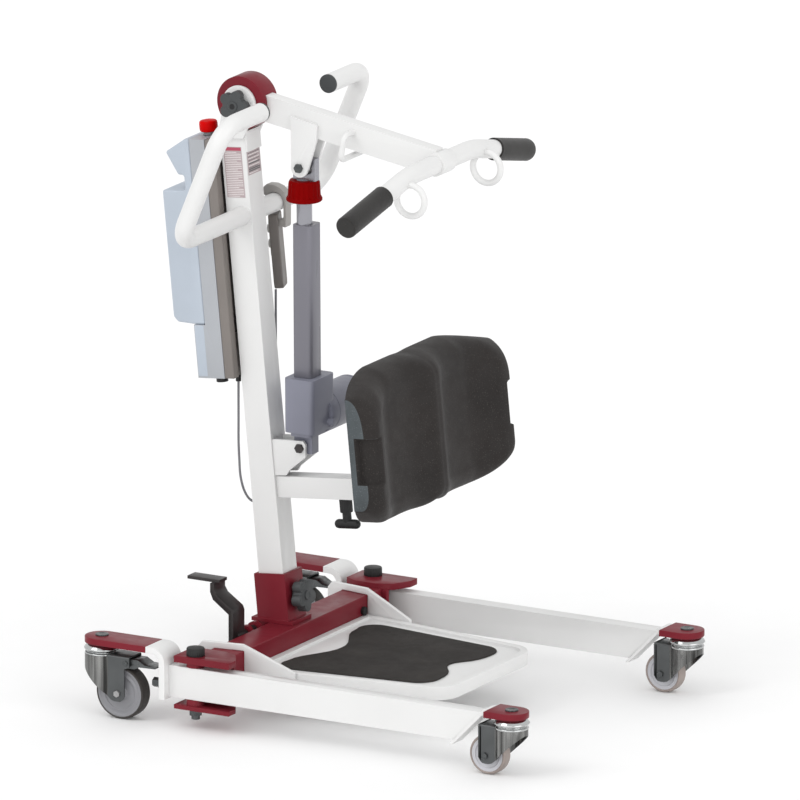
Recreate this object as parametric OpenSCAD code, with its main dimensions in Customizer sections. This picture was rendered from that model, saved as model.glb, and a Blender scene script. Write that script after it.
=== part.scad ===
/* [Base and legs] */
// Distance of each leg's centre line from the middle plane
leg_y = 326; // [316:1:336]
// Width of a leg tube
leg_w = 30; // [26:1:34]
// Lowest face of a leg tube above the floor
leg_bottom = 57; // [54:1:60]
// Highest face of a leg tube above the floor
leg_top = 117; // [110:1:120]
// Place of the leg pivots along the base
pivot_x = -232; // [-236:1:-228]
// Place of the rear caster stems along the base
rear_stem_x = -430; // [-434:1:-428]
// Place of the front caster stems along the base
front_stem_x = 433; // [430:1:440]
// Height of the cross member's top face
cross_top = 130; // [128:1:134]
// Height of the foot plate's floor
foot_z = 90; // [86:1:94]

/* [Casters] */
// Rear wheel diameter
rear_wheel_d = 100; // [98:1:102]
// Rear wheel width
rear_wheel_w = 32; // [28:1:34]
// Front wheel diameter
front_wheel_d = 75; // [73:1:77]
// Front wheel width
front_wheel_w = 26; // [22:1:28]
// Distance from a caster's stem to its wheel's centre
trail = 45; // [44:1:48]

/* [Mast] */
// Angle that the mast leans back
mast_lean = 5.64; // [5:0.01:6]
// Side of the square mast tube
mast_w = 52; // [48:1:54]
// Length of the mast tube above its foot
mast_len = 936; // [930:1:940]
// Wall of the square tubes
wall = 2.5; // [2:0.5:3]

/* [Boom] */
// Place of the boom hinge along the base
hinge_x = -310; // [-312:1:-308]
// Height of the boom hinge
hinge_z = 1104; // [1102:1:1106]
// Angle that the boom points down at its lowest
boom_drop = 9.2; // [9:0.1:9.4]
// Distance from the hinge to the crossbar's centre
boom_len = 412; // [405:1:420]
// Diameter of the crossbar and handle tubes
tube_d = 35; // [34:1:36]
// Distance from the middle plane to the end of a grip
grip_end_y = 334; // [325:1:340]

/* [Knee pad] */
// Width of the knee pad
pad_w = 520; // [500:2:540]
// Height of the knee pad
pad_h = 272; // [260:2:280]

/* [Hidden] */

$fn = 48;
run_gap = 0.05;

MAROON = "#7b1f30";
WHITE = "#f1f1ee";
STEEL = "#9a9a98";
DARK = "#2e2d2c";
LAVENDER = "#7c7c8c";

// Base
cross_x0 = -245;
cross_w = 60;
cross_half_y = 276;
bracket_t = 10;
top_plate_z = 126;
bottom_plate_z = 38;
top_plate_t = 12;
bottom_plate_t = 8;
pivot_r = 8;
plate_r = 32;
caster_plate_t = 12;
rear_plate_z = 138;
front_plate_z = 112;
rear_plate_len = 110;
front_plate_len = 42;
plate_edge = front_stem_x - front_plate_len;
stem_r = 6;
stem_drop = 22;
swivel_h = 16;
axle_r = 5;
brake_pin = [62, 110];
brake_pin_r = 4;
neck_r = 28;
neck_x = -280;
neck_bolt_y = 17;
gusset_t = 8;
gusset_gap = 6;
foot_rear_x = cross_x0 + cross_w;
foot_front_x = 205;
foot_taper = 0.146;
foot_corner = 50;
pedal_x = -262;
pedal_z = 122;
pedal_y = -125;
pedal_shaft_r = 8;

// Mast: local x points forward from the mast's centre line and local z along the mast
mast_x0 = -236;
mast_z0 = 115;
half_mast = mast_w / 2;
socket_w = 65;
socket_top = 107;
knob_q = 62;
screw_r = 6;
arm_q = 269.5;
arm_w = 40;
arm_end = 203;
inner_w = arm_w - 2 * wall - 1;
clamp_p = 158;
pad_back = 294;
pad_q0 = 243;
box_half_y = 45;
box_q0 = 476;
box_q1 = 925;
box_split = -50;
box_back = -82;
estop_p = -64;
head_p = (hinge_x - mast_x0) * cos(mast_lean) + (hinge_z - mast_z0) * sin(mast_lean);
head_q = -(hinge_x - mast_x0) * sin(mast_lean) + (hinge_z - mast_z0) * cos(mast_lean);

// Push handles
handle_x = -305;
handle_z = 892;
handle_lean = 22.6;
handle_rise = 248;
handle_y = 260;
handle_tip_y = 125;
handle_bend = 46;

// Lower edge of the ears on the mast
ear_q = 926;

// Boom
drum_r = 50;
boom_h = 50;
boom_w = 26;
ear_t = 6;
pin_r = 6;
clevis_pin = [-190.1, 994.9];
foot_pin = [-186.7, 466.1];
rod_len = 528.81;
rod_tilt = -0.37;
rod_r = 14.5;
ring_low = 464;
ring_top = 504;
slot_reach = 13.5;
slot_drop = 4.5;
crossbar_flat = 94;
crossbar_slope = 13.4;
crossbar_bend_r = 200;
ring_y = 140;
ring_r = 29;
ring_rod = 6;
bail_x = 231;
bail_y = 43;
bail_rod = 5.5;
bail_bend = 12;

// Pendant and its cord
pendant_at = [-306, 100, 800];
pendant_turn = 20;
pendant_size = [22, 44, 140];
button_up_z = 40;
button_down_z = 12;
cord_d = 4.5;
cord_sides = 8;
cord_steps = 3;
// Route of the pendant cord, from the control box down and up to the pendant
CORD = [
    [-322, -13, 574], [-322, -13, 560], [-322, -13, 540], [-322, -13, 500], [-322, -13, 460],
    [-321, -12, 425], [-320, -10, 395], [-316, -5, 368], [-311, 6, 348], [-306, 22, 338],
    [-302, 40, 338], [-300, 56, 348], [-299, 68, 368], [-299, 74, 395], [-299, 78, 430],
    [-299, 81, 480], [-300, 84, 540], [-300, 86, 600], [-300, 86, 660], [-300, 86, 700],
    [-300, 86, 716], [-300, 86, 728]
];

// A place on the mast: p forward of its centre line, q along it
module on_mast(p = 0, q = 0) {
    translate([mast_x0, 0, mast_z0]) rotate([0, -mast_lean, 0]) translate([p, 0, q]) children();
}

module on_boom(x = 0, z = 0) {
    translate([hinge_x, 0, hinge_z]) rotate([0, boom_drop, 0]) translate([x, 0, z]) children();
}

module on_actuator(z = 0) {
    translate([foot_pin[0], 0, foot_pin[1]]) rotate([0, rod_tilt, 0]) translate([0, 0, z]) children();
}

// A box from its low corner to its high corner
module span(lo, hi) {
    translate(lo) cube(hi - lo);
}

// A cylinder along Y, centred on its middle
module y_rod(r, len) {
    rotate([90, 0, 0]) cylinder(r = r, h = len, center = true);
}

// A side profile in X and Z, drawn out along Y about the middle
module y_slab(points, len) {
    translate([0, len / 2, 0]) rotate([90, 0, 0]) linear_extrude(len) polygon(points);
}

// A quarter bend of a round rod in the YZ plane, from straight up round to +Y
module quarter_bend(bend, r) {
    rotate([0, -90, 0]) rotate_extrude(angle = 90) translate([bend, 0]) circle(r);
}

// Points of an arc in the plane, from one angle to another
function arc(c, r, a0, a1, n = 8) =
    [for (i = [0:n]) c + r * [cos(a0 + (a1 - a0) * i / n), sin(a0 + (a1 - a0) * i / n)]];

module both_sides() {
    children();
    mirror([0, 1, 0]) children();
}

module star_knob(d, thick) {
    lobe_r = d * 0.18;
    linear_extrude(thick) {
        circle(d * 0.36);
        for (k = [0:4]) rotate(k * 72) translate([d / 2 - lobe_r, 0]) circle(lobe_r);
    }
    translate([0, 0, -8]) cylinder(r = d * 0.2, h = 8);
}

// ---- Base -------------------------------------------------------------------------

module cross_member() {
    color(MAROON) difference() {
        span([cross_x0, -cross_half_y, cross_top - 60], [cross_x0 + cross_w, cross_half_y, cross_top]);
        span([cross_x0 + 4, -cross_half_y - 1, cross_top - 56],
             [cross_x0 + cross_w - 4, cross_half_y + 1, cross_top - 4]);
    }
}

module pivot_plate(z, t) {
    translate([0, 0, z]) linear_extrude(t) polygon([
        [-266, cross_half_y + 12], [-242, cross_half_y], [-198, cross_half_y], [-168, cross_half_y + 14],
        [-150, 322], [-150, 347], [-266, 347]
    ]);
}

module pivot_brackets() {
    color(MAROON) both_sides() difference() {
        union() {
            pivot_plate(top_plate_z, top_plate_t);
            pivot_plate(bottom_plate_z, bottom_plate_t);
            span([-262, cross_half_y, bottom_plate_z], [-175, cross_half_y + bracket_t, top_plate_z + 1]);
            translate([pivot_x, leg_y, leg_top + 0.3]) cylinder(r = 17, h = top_plate_z - leg_top);
            translate([pivot_x, leg_y, bottom_plate_z + 1])
                cylinder(r = 17, h = leg_bottom - bottom_plate_z - 1.3);
        }
        translate([pivot_x, leg_y, 0]) cylinder(r = pivot_r + run_gap, h = 200);
    }
}

module pivot_bolts() {
    color(DARK) both_sides() translate([pivot_x, leg_y, 0]) {
        translate([0, 0, 18]) cylinder(r = pivot_r, h = top_plate_z + top_plate_t - 17);
        translate([0, 0, top_plate_z + top_plate_t]) cylinder(r = 16, h = 9);
        translate([0, 0, bottom_plate_z - 12]) cylinder(r = 13, h = 12, $fn = 6);
    }
}

module gusset_profile() {
    polygon([
        [-280, 72], [-280, 130], [-270, 142], [-190, 142], [-140, 121], [-88, 98], [-88, 72]
    ]);
}

module gusset_plates() {
    side = atan(foot_taper);
    color(WHITE) both_sides() difference() {
        translate([0, foot_half(0) + gusset_gap, 0]) rotate([0, 0, -side])
            rotate([90, 0, 0]) linear_extrude(gusset_t, center = true) gusset_profile();
        span([cross_x0 - 0.1, 150, 60], [cross_x0 + cross_w + 0.1, 300, cross_top + 0.1]);
    }
}

// Half width of the foot plate at a place along the base
function foot_half(x) = 194 - foot_taper * x;

// Half of an outline with tapering sides, from the rear side point to the front middle
function foot_outline(inset) = let (
    r = foot_corner - inset,
    lean = sqrt(1 + foot_taper * foot_taper),
    side = atan(foot_taper),
    xf = foot_front_x - inset - r,
    yf = foot_half(xf) - (inset + r) * lean,
    xr = foot_rear_x + inset,
    yr = foot_half(xr) - inset * lean
) concat([[xr, yr]], arc([xf, yf], r, 90 - side, 0), arc([xf, -yf], r, 0, side - 90), [[xr, -yr]]);

module footplate() {
    color(WHITE) difference() {
        translate([0, 0, 70]) linear_extrude(foot_z + 5 - 70) polygon(foot_outline(0));
        translate([0, 0, 60]) linear_extrude(foot_z - 3 - 60) polygon(foot_outline(3));
        translate([0, 0, foot_z]) linear_extrude(20) polygon(foot_outline(14));
    }
}

// Half of the mat's outline, from the middle of the rear notch round to the front one
function mat_half() = concat(
    [[-112, 0], [-113, 16], [-119, 36], [-132, 62], [-145, 86], [-151, 104]],
    arc([-121, 140], 34, 200, 85, 8), arc([112, 103], 40, 82, 0, 7),
    [[151, 78], [147, 59], [140, 43], [129, 28], [120, 14], [117, 0]]
);

module foot_mat() {
    half = mat_half();
    color(DARK) translate([0, 0, foot_z]) linear_extrude(3)
        polygon(concat(half, [for (i = [len(half) - 2:-1:1]) [half[i][0], -half[i][1]]]));
}

module base_bumpers() {
    color(DARK) both_sides() translate([cross_x0 + cross_w, 206, 104])
        rotate([0, 90, 0]) cylinder(r = 8, h = 6);
}

module leg_side(s) {
    if (s > 0) children();
    else mirror([0, 1, 0]) children();
}

module leg_tube(s) {
    color(WHITE) leg_side(s) difference() {
        union() {
            translate([0, leg_y, 0]) difference() {
                y_slab([[neck_x, leg_bottom], [318, leg_bottom], [378, leg_top], [neck_x, leg_top]], leg_w);
                y_slab([[neck_x - 1, leg_bottom + wall], [318, leg_bottom + wall],
                        [378, leg_top - wall], [neck_x - 1, leg_top - wall]], leg_w - 2 * wall);
            }
            translate([0, leg_y, 0])
                y_slab([[312, 49], [319, 49], [381, front_plate_z], [plate_edge, front_plate_z],
                        [plate_edge, front_plate_z + caster_plate_t],
                        [384, front_plate_z + caster_plate_t]], leg_w + 8);
            translate([pivot_x, leg_y, leg_bottom]) cylinder(r = 14, h = leg_top - leg_bottom);
        }
        translate([pivot_x, leg_y, 0]) cylinder(r = pivot_r + run_gap, h = 200);
    }
}

module leg_gooseneck(s) {
    c = [neck_x - neck_r, rear_plate_z + caster_plate_t - neck_r];
    color(WHITE) leg_side(s) translate([0, leg_y, 0]) y_slab(concat(
        [[rear_stem_x + rear_plate_len, rear_plate_z + caster_plate_t]],
        arc(c, neck_r, 90, 0, 8),
        [[neck_x, 54], [neck_x - 12, 54]],
        arc(c, neck_r - 12, 0, 90, 8),
        [[rear_stem_x + rear_plate_len, rear_plate_z]]
    ), 2 * plate_r);
    color(STEEL) leg_side(s) translate([neck_x - 12, leg_y + neck_bolt_y, 82]) rotate([0, -90, 0]) {
        cylinder(r = 12, h = 4);
        cylinder(r = 9.5, h = 18, $fn = 6);
    }
}

module caster_plate(stem_x, end_x, z) {
    translate([stem_x, leg_y, z]) cylinder(r = plate_r, h = caster_plate_t);
    span([min(stem_x, end_x), leg_y - plate_r, z], [max(stem_x, end_x), leg_y + plate_r, z + caster_plate_t]);
    translate([stem_x, leg_y, z - stem_drop]) cylinder(r = stem_r, h = stem_drop + caster_plate_t + 2);
    translate([stem_x, leg_y, z + caster_plate_t - 1]) cylinder(r = 12, h = 3.5);
}

module caster_plates(s) {
    color(MAROON) leg_side(s) {
        caster_plate(rear_stem_x, rear_stem_x + rear_plate_len, rear_plate_z);
        caster_plate(front_stem_x, plate_edge, front_plate_z);
    }
}

// ---- Casters: drawn with the stem on the origin and the wheel towards +X --------------

module fork(wheel_d, wheel_w, plate_z, nose) {
    wr = wheel_d / 2;
    top = plate_z - swivel_h;
    out_w = wheel_w + 14;
    difference() {
        union() {
            difference() {
                y_slab([[-31, top], [nose - 26, top], [nose, top - 6], [nose, top - 20], [trail + 14, top - 24],
                        [trail + 14, wr - 8], [trail + 6, wr - 15], [trail - 14, wr - 14], [trail - 32, wr + 3],
                        [0, (top + wr) / 2 - 14], [-31, top - 9]], out_w);
                y_slab([[-28, top - 4], [trail - wr - 3, wr + 18], [trail - wr - 3, -5],
                        [nose + 9, -5], [nose + 9, top - 4]], out_w - 6);
            }
            translate([0, 0, top - 4]) cylinder(r = 31, h = 5);
            translate([0, 0, top]) cylinder(r = 25, h = swivel_h - 0.3);
            translate([trail, 0, wr]) {
                y_rod(axle_r, out_w + 4);
                for (e = [-1, 1]) translate([0, e * (out_w / 2 + 3), 0])
                    rotate([90, 0, 0]) cylinder(r = 8, h = 6, center = true, $fn = 6);
            }
        }
        translate([0, 0, top - 10]) cylinder(r = stem_r + run_gap, h = 40);
        // Room for the wheel
        translate([trail, 0, wr]) y_rod(wr + 2, wheel_w + 8 - 2 * run_gap);
    }
}

// A fork's axle, put back through the room for the wheel
module fork_axle(wheel_d, wheel_w) {
    translate([trail, 0, wheel_d / 2]) y_rod(axle_r, wheel_w + 14);
}

module wheel_hub(r, w) {
    rotate([90, 0, 0]) rotate_extrude() polygon([
        [axle_r + run_gap, -w / 2], [13, -w / 2], [14, -w / 2 + 8], [r - 8, -w / 2 + 8], [r - 5, -w / 2 + 1],
        [r, -w / 2 + 1], [r, w / 2 - 1], [r - 5, w / 2 - 1], [r - 8, w / 2 - 8], [14, w / 2 - 8],
        [13, w / 2], [axle_r + run_gap, w / 2]
    ]);
}

module wheel_tyre(r_in, r, w) {
    rotate([90, 0, 0]) rotate_extrude() polygon([
        [r_in, -w / 2 + 1], [r - 6, -w / 2], [r - 1.5, -w / 2 + 3.5], [r, -w / 4],
        [r, w / 4], [r - 1.5, w / 2 - 3.5], [r - 6, w / 2], [r_in, w / 2 - 1]
    ]);
}

module at_caster(end, s) {
    leg_side(s) translate([end > 0 ? front_stem_x : rear_stem_x, leg_y, 0])
        rotate([0, 0, end > 0 ? 180 : 0]) children();
}

module rear_fork(s) {
    color(STEEL) at_caster(-1, s) {
        fork(rear_wheel_d, rear_wheel_w, rear_plate_z, 70);
        fork_axle(rear_wheel_d, rear_wheel_w);
        translate([brake_pin[0], 0, brake_pin[1]]) y_rod(brake_pin_r, rear_wheel_w + 14);
    }
}

module rear_hub(s) {
    color("#8d8d92") at_caster(-1, s) translate([trail, 0, rear_wheel_d / 2])
        wheel_hub(rear_wheel_d / 2 - 11, rear_wheel_w);
}

module rear_tyre(s) {
    color("#55524f") at_caster(-1, s) translate([trail, 0, rear_wheel_d / 2])
        wheel_tyre(rear_wheel_d / 2 - 11, rear_wheel_d / 2, rear_wheel_w);
}

module rear_brake(s) {
    color(STEEL) at_caster(-1, s) difference() {
        y_slab([[55, 105], [66, 99], [78, 99], [88, 104], [122, 105], [123, 108], [100, 109], [86, 117],
                [68, 117], [55, 113.5]], rear_wheel_w + 2);
        translate([brake_pin[0], 0, brake_pin[1]]) y_rod(brake_pin_r + run_gap, rear_wheel_w + 10);
    }
}

module front_fork(s) {
    color(STEEL) at_caster(1, s) {
        fork(front_wheel_d, front_wheel_w, front_plate_z, 58);
        fork_axle(front_wheel_d, front_wheel_w);
    }
}

module front_wheel(s) {
    r = front_wheel_d / 2;
    color("#a3a1a3") at_caster(1, s) translate([trail, 0, r]) {
        wheel_hub(r - 9, front_wheel_w);
        wheel_tyre(r - 9, r, front_wheel_w);
    }
}

// ---- Leg spreading pedal ------------------------------------------------------------

module leg_pedal() {
    color("#3d3c3b") translate([pedal_x, pedal_y, pedal_z]) {
        y_slab([[-5, -12], [5, -12], [5, 48], [2, 56], [-30, 78], [-36, 88], [-36, 101], [-44, 101],
                [-44, 84], [-38, 70], [-5, 46]], 42);
        y_slab([[-28, 101], [-28, 107], [-96, 107], [-96, 101]], 28);
        translate([0, 38, 0]) y_rod(pedal_shaft_r, 84);
    }
}

// Two lugs on the back of the cross member that carry the pedal's shaft
module pedal_lugs() {
    color(MAROON) for (y = [-90, -58]) difference() {
        union() {
            translate([pedal_x, y, pedal_z]) y_rod(pedal_shaft_r + 6, 10);
            span([pedal_x, y - 5, pedal_z - 15], [cross_x0, y + 5, pedal_z + 6]);
        }
        translate([pedal_x, y, pedal_z]) y_rod(pedal_shaft_r + run_gap, 20);
    }
}

// ---- Mast ---------------------------------------------------------------------------

module mast_socket() {
    color(MAROON) difference() {
        union() {
            on_mast() span([-socket_w / 2, -socket_w / 2, -8], [socket_w / 2, socket_w / 2, socket_top]);
            span([-282, -36, cross_top], [-196, 36, cross_top + 7]);
        }
        on_mast() span([-half_mast - 0.1, -half_mast - 0.1, 25], [half_mast + 0.1, half_mast + 0.1, 130]);
        span([cross_x0 - 0.1, -60, 60], [cross_x0 + cross_w + 0.1, 60, cross_top]);
        on_mast(0, knob_q) rotate([0, 90, 0]) cylinder(r = screw_r + run_gap, h = 60);
    }
}

module mast_tube() {
    color(WHITE) on_mast() difference() {
        span([-half_mast, -half_mast, 25], [half_mast, half_mast, mast_len]);
        span([-half_mast + wall, -half_mast + wall, 24],
             [half_mast - wall, half_mast - wall, mast_len + 1]);
        translate([0, 0, knob_q]) rotate([0, 90, 0]) cylinder(r = screw_r + run_gap, h = 40);
    }
}

module mast_head() {
    color(WHITE) on_mast() {
        for (e = [-1, 1]) translate([0, e * (half_mast + ear_t / 2), 0]) difference() {
            union() {
                y_slab([[-half_mast, ear_q], [half_mast, ear_q], [half_mast + 32, head_q - 8],
                        [head_p - 30, head_q + 12], [-half_mast, ear_q + 10]], ear_t);
                translate([head_p, 0, head_q]) y_rod(34, ear_t);
            }
            translate([head_p, 0, head_q]) y_rod(8 + run_gap, ear_t + 1);
        }
        span([half_mast, -half_mast, 900], [half_mast + 4, half_mast, head_q - drum_r - 3]);
    }
}

module lower_bracket() {
    color(WHITE) for (e = [-1, 1]) translate([0, e * 20, 0]) difference() {
        y_slab([[-251, 474], [-240, 476], [-180, 480], [-175, 474], [-175, 450], [-209, 421], [-215, 411],
                [-238, 408], [-246, 408]], ear_t);
        translate([foot_pin[0], 0, foot_pin[1]]) y_rod(pin_r + run_gap, 20);
        on_mast() span([-40, -30, 0], [half_mast, 30, 500]);
    }
    color(STEEL) translate([foot_pin[0], 0, foot_pin[1]]) {
        y_rod(pin_r, 56);
        for (e = [-1, 1]) translate([0, e * 25.5, 0]) rotate([90, 0, 0])
            cylinder(r = 9, h = 5, center = true, $fn = 6);
    }
}

module knee_arm() {
    color(WHITE) on_mast(0, arm_q) difference() {
        span([half_mast, -arm_w / 2, -arm_w / 2], [arm_end, arm_w / 2, arm_w / 2]);
        span([half_mast - 1, -arm_w / 2 + wall, -arm_w / 2 + wall],
             [arm_end + 1, arm_w / 2 - wall, arm_w / 2 - wall]);
        translate([clamp_p, 0, -arm_w]) cylinder(r = 5 + run_gap, h = arm_w);
    }
}

module push_handle() {
    r = tube_d / 2;
    y0 = half_mast;
    translate([handle_x, 0, handle_z]) rotate([0, handle_lean, 0]) {
        translate([0, y0, 0]) rotate([-90, 0, 0]) cylinder(r = r, h = handle_y - handle_bend - y0);
        translate([0, handle_y - handle_bend, handle_bend]) mirror([0, 0, 1]) quarter_bend(handle_bend, r);
        translate([0, handle_y, handle_bend]) cylinder(r = r, h = handle_rise - 2 * handle_bend);
        translate([0, handle_y - handle_bend, handle_rise - handle_bend]) quarter_bend(handle_bend, r);
        translate([0, handle_tip_y, handle_rise]) rotate([-90, 0, 0])
            cylinder(r = r, h = handle_y - handle_bend - handle_tip_y);
    }
}

module push_handles() {
    color(WHITE) both_sides() difference() {
        push_handle();
        on_mast() span([-half_mast - 5, -half_mast, 700], [half_mast, half_mast, 900]);
    }
}

module handle_caps() {
    color(DARK) both_sides() translate([handle_x, 0, handle_z]) rotate([0, handle_lean, 0])
        translate([0, handle_tip_y - 5, handle_rise]) rotate([-90, 0, 0]) cylinder(r = tube_d / 2, h = 5);
}

// ---- Control box, battery and pendant -------------------------------------------------

module mount_rail() {
    color("#4a4745") on_mast() {
        span([-half_mast - 4, -20, 520], [-half_mast, 20, 880]);
        for (q = [560, 820]) span([-half_mast - 9, -26, q], [-half_mast - 4, 26, q + 30]);
    }
}

module control_box_front() {
    color("#77706b") on_mast() difference() {
        span([box_split, -box_half_y, box_q0], [-half_mast - 3.5, box_half_y, box_q1]);
        span([-half_mast - 9.1, -26.1, 400], [-20, 26.1, 900]);
    }
}

module control_box_rear() {
    color("#9ea2a6") on_mast() difference() {
        y_slab([[box_split, box_q0], [box_split, box_q1], [box_back, box_q1], [box_back, 576],
                [-106, 576], [-106, box_q0]], 2 * box_half_y);
        translate([estop_p, 0, box_q1 - 10]) cylinder(r = 11 + 0.3, h = 20);
    }
}

module battery() {
    color("#b9c0cc") on_mast() y_slab([
        [box_back - 0.3, 577], [box_back - 0.3, box_q1], [-92, box_q1], [-135, 900], [-112, 857],
        [-100, 857], [-100, 828], [-148.5, 828], [-148.5, 590], [-140, 580], [-108, 577]
    ], 2 * box_half_y);
}

module cable_glands() {
    color(DARK) {
        on_mast(-74, box_q0 - 12) translate([0, -14, 0]) cylinder(r = 11, h = 12);
        translate(CORD[0]) cylinder(r = 5, h = 12);
    }
}

module on_pendant() {
    translate(pendant_at) rotate([0, -mast_lean, 0]) rotate([0, 0, pendant_turn]) children();
}

module pendant_hook() {
    r = tube_d / 2 + 1;
    translate([handle_x, 100, handle_z]) {
        y_slab(concat(
            arc([0, 0], r, 150, 0, 10),
            [[r, -30], [7, -32], [7, -44], [r + 5.5, -46], [r + 5.5, 14], [10, 29], [-2, 35], [-22, 34], [-25, 12]]
        ), 20);
    }
}

module pendant() {
    s = pendant_size;
    color("#6b6661") difference() {
        union() {
            on_pendant() translate(-s / 2) cube(s);
            pendant_hook();
        }
        for (z = [button_up_z, button_down_z]) on_pendant() translate([-s[0] / 2 - 1, 0, z])
            rotate([0, 90, 0]) cylinder(r = 8.3, h = 5);
    }
}

module pendant_button(z) {
    s = pendant_size;
    color("#c9c6c0") on_pendant() translate([-s[0] / 2 + 2.5, 0, z]) rotate([0, -90, 0])
        cylinder(r = 8, h = 4.5);
}

function unit(v) = v / norm(v);
function spline(a, b, c, d, t) =
    0.5 * (2 * b + (c - a) * t + (2 * a - 5 * b + 4 * c - d) * t * t + (3 * b - a - 3 * c + d) * t * t * t);
function smooth_route(pts, n) = let (m = len(pts) - 1) concat(
    [for (i = [0:m - 1], k = [0:n - 1])
        spline(pts[max(i - 1, 0)], pts[i], pts[i + 1], pts[min(i + 2, m)], k / n)],
    [pts[m]]);

module pendant_cord() {
    route = smooth_route(CORD, cord_steps);
    m = len(route);
    n = cord_sides;
    ring = [for (i = [0:m - 1]) let (
        t = unit(route[min(i + 1, m - 1)] - route[max(i - 1, 0)]),
        u = unit(cross(t, [1, 0, 0])),
        v = cross(t, u)
    ) for (k = [0:n - 1]) route[i] + cord_d / 2 * (u * cos(k * 360 / n) + v * sin(k * 360 / n))];
    sides = [for (i = [0:m - 2], k = [0:n - 1])
        [i * n + k, i * n + (k + 1) % n, (i + 1) * n + (k + 1) % n, (i + 1) * n + k]];
    first = [for (k = [n - 1:-1:0]) k];
    last = [for (k = [0:n - 1]) (m - 1) * n + k];
    color("#6f7078") polyhedron(ring, concat([first], sides, [last]));
}

// ---- Boom -----------------------------------------------------------------------------

module boom_hub() {
    color(MAROON) on_boom() difference() {
        y_rod(drum_r, 2 * half_mast - 3);
        y_rod(8 + run_gap, 60);
        span([36, -boom_w / 2 - 0.1, -boom_h / 2 - 0.1], [60, boom_w / 2 + 0.1, boom_h / 2 + 0.1]);
    }
}

module boom_tube() {
    color(WHITE) {
        on_boom() difference() {
            union() {
                span([36, -boom_w / 2, -boom_h / 2], [boom_len - 6, boom_w / 2, boom_h / 2]);
                translate([boom_len, 0, 0]) y_rod(tube_d / 2 + 4, 46);
            }
            span([35, -boom_w / 2 + wall, -boom_h / 2 + wall],
                 [boom_len - 24, boom_w / 2 - wall, boom_h / 2 - wall]);
            translate([boom_len, 0, 0]) y_rod(tube_d / 2 + run_gap, 80);
        }
        for (e = [-1, 1]) translate([0, e * (boom_w / 2 + ear_t / 2), 0]) difference() {
            union() {
                y_slab([[-208, 1090], [-152, 1080], [-154, 1050], [-172, 992], [-207, 990]], ear_t);
                translate([clevis_pin[0], 0, clevis_pin[1]]) y_rod(17.5, ear_t);
            }
            translate([clevis_pin[0], 0, clevis_pin[1]]) y_rod(pin_r + run_gap, 20);
        }
    }
}

module boom_pins() {
    color(STEEL) {
        on_boom() y_rod(8, 2 * (half_mast + ear_t));
        translate([clevis_pin[0], 0, clevis_pin[1]]) {
            y_rod(pin_r, 48);
            for (e = [-1, 1]) translate([0, e * 21.5, 0]) rotate([90, 0, 0])
                cylinder(r = 9, h = 5, center = true, $fn = 6);
        }
    }
}

// Half of the crossbar: straight, a bend, and a straight end that slopes down
module crossbar_half(r, y_from, y_to) {
    slope = crossbar_slope;
    bend = crossbar_bend_r;
    yb = crossbar_flat + bend * sin(slope);
    zb = -bend * (1 - cos(slope));
    if (y_from < crossbar_flat) {
        translate([0, y_from, 0]) rotate([-90, 0, 0]) cylinder(r = r, h = crossbar_flat - y_from);
        translate([0, crossbar_flat, -bend]) rotate([0, -90, 0])
            rotate_extrude(angle = slope) translate([bend, 0]) circle(r);
    }
    start = max(0, (y_from - yb) / cos(slope));
    translate([0, yb, zb]) rotate([-90 - slope, 0, 0]) translate([0, 0, start])
        cylinder(r = r, h = (y_to - yb) / cos(slope) - start);
}

module at_crossbar() {
    on_boom(boom_len, 0) children();
}

module crossbar() {
    color(WHITE) at_crossbar() both_sides() crossbar_half(tube_d / 2, 0, grip_end_y - 6);
}

module grips() {
    color(DARK) at_crossbar() both_sides() difference() {
        crossbar_half(21, 202, grip_end_y);
        crossbar_half(tube_d / 2 + run_gap, 190, grip_end_y - 6);
    }
}

module sling_loops() {
    color(WHITE) {
        at_crossbar() both_sides() difference() {
            translate([24, ring_y, -35]) rotate([90, 0, 0])
                rotate_extrude() translate([ring_r, 0]) circle(ring_rod);
            crossbar_half(tube_d / 2 + 0.05, 0, grip_end_y);
        }
        on_boom(bail_x, 8) boom_bail();
    }
}

module boom_bail() {
    drop = 48;
    both_sides() {
        translate([0, boom_w / 2, 0]) rotate([-90, 0, 0])
            cylinder(r = bail_rod, h = bail_y - bail_bend - boom_w / 2);
        translate([0, bail_y - bail_bend, -bail_bend]) quarter_bend(bail_bend, bail_rod);
        translate([0, bail_y, -drop + bail_bend]) cylinder(r = bail_rod, h = drop - 2 * bail_bend);
        translate([0, bail_y - bail_bend, -drop + bail_bend]) mirror([0, 0, 1])
            quarter_bend(bail_bend, bail_rod);
        translate([0, 0, -drop]) rotate([-90, 0, 0]) cylinder(r = bail_rod, h = bail_y - bail_bend);
    }
}

// ---- Actuator ---------------------------------------------------------------------------

module rounded_bar(x0, x1, y0, y1, h, r) {
    linear_extrude(h) polygon(concat(
        arc([x1 - r, y1 - r], r, 0, 90, 5), arc([x0 + r, y1 - r], r, 90, 180, 5),
        arc([x0 + r, y0 + r], r, 180, 270, 5), arc([x1 - r, y0 + r], r, 270, 360, 5)));
}

module actuator_tube() {
    color(LAVENDER) on_actuator(132) difference() {
        rounded_bar(-18, 22, -17, 25, 288, 8);
        translate([0, 0, -1]) cylinder(r = rod_r + run_gap, h = 300);
    }
}

module actuator_gearbox() {
    color(LAVENDER) on_actuator() {
        difference() {
            union() {
                translate([0, 0, 30]) rounded_bar(-28, 34, -34, 50, 102, 10);
                translate([0, 0, 22]) rounded_bar(-20, 26, -26, 42, 9, 8);
                span([-18, -12, -12], [20, 12, 24]);
            }
            y_rod(pin_r + run_gap, 40);
            translate([0, 0, 40]) cylinder(r = rod_r + run_gap, h = 120);
        }
        translate([34, 26, 44]) rotate([0, 90, 0]) cylinder(r = 7, h = 12);
    }
}

module actuator_motor() {
    color("#6d6a6c") on_actuator(56) translate([0, 120, 0]) y_rod(42, 139.8);
}

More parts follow.
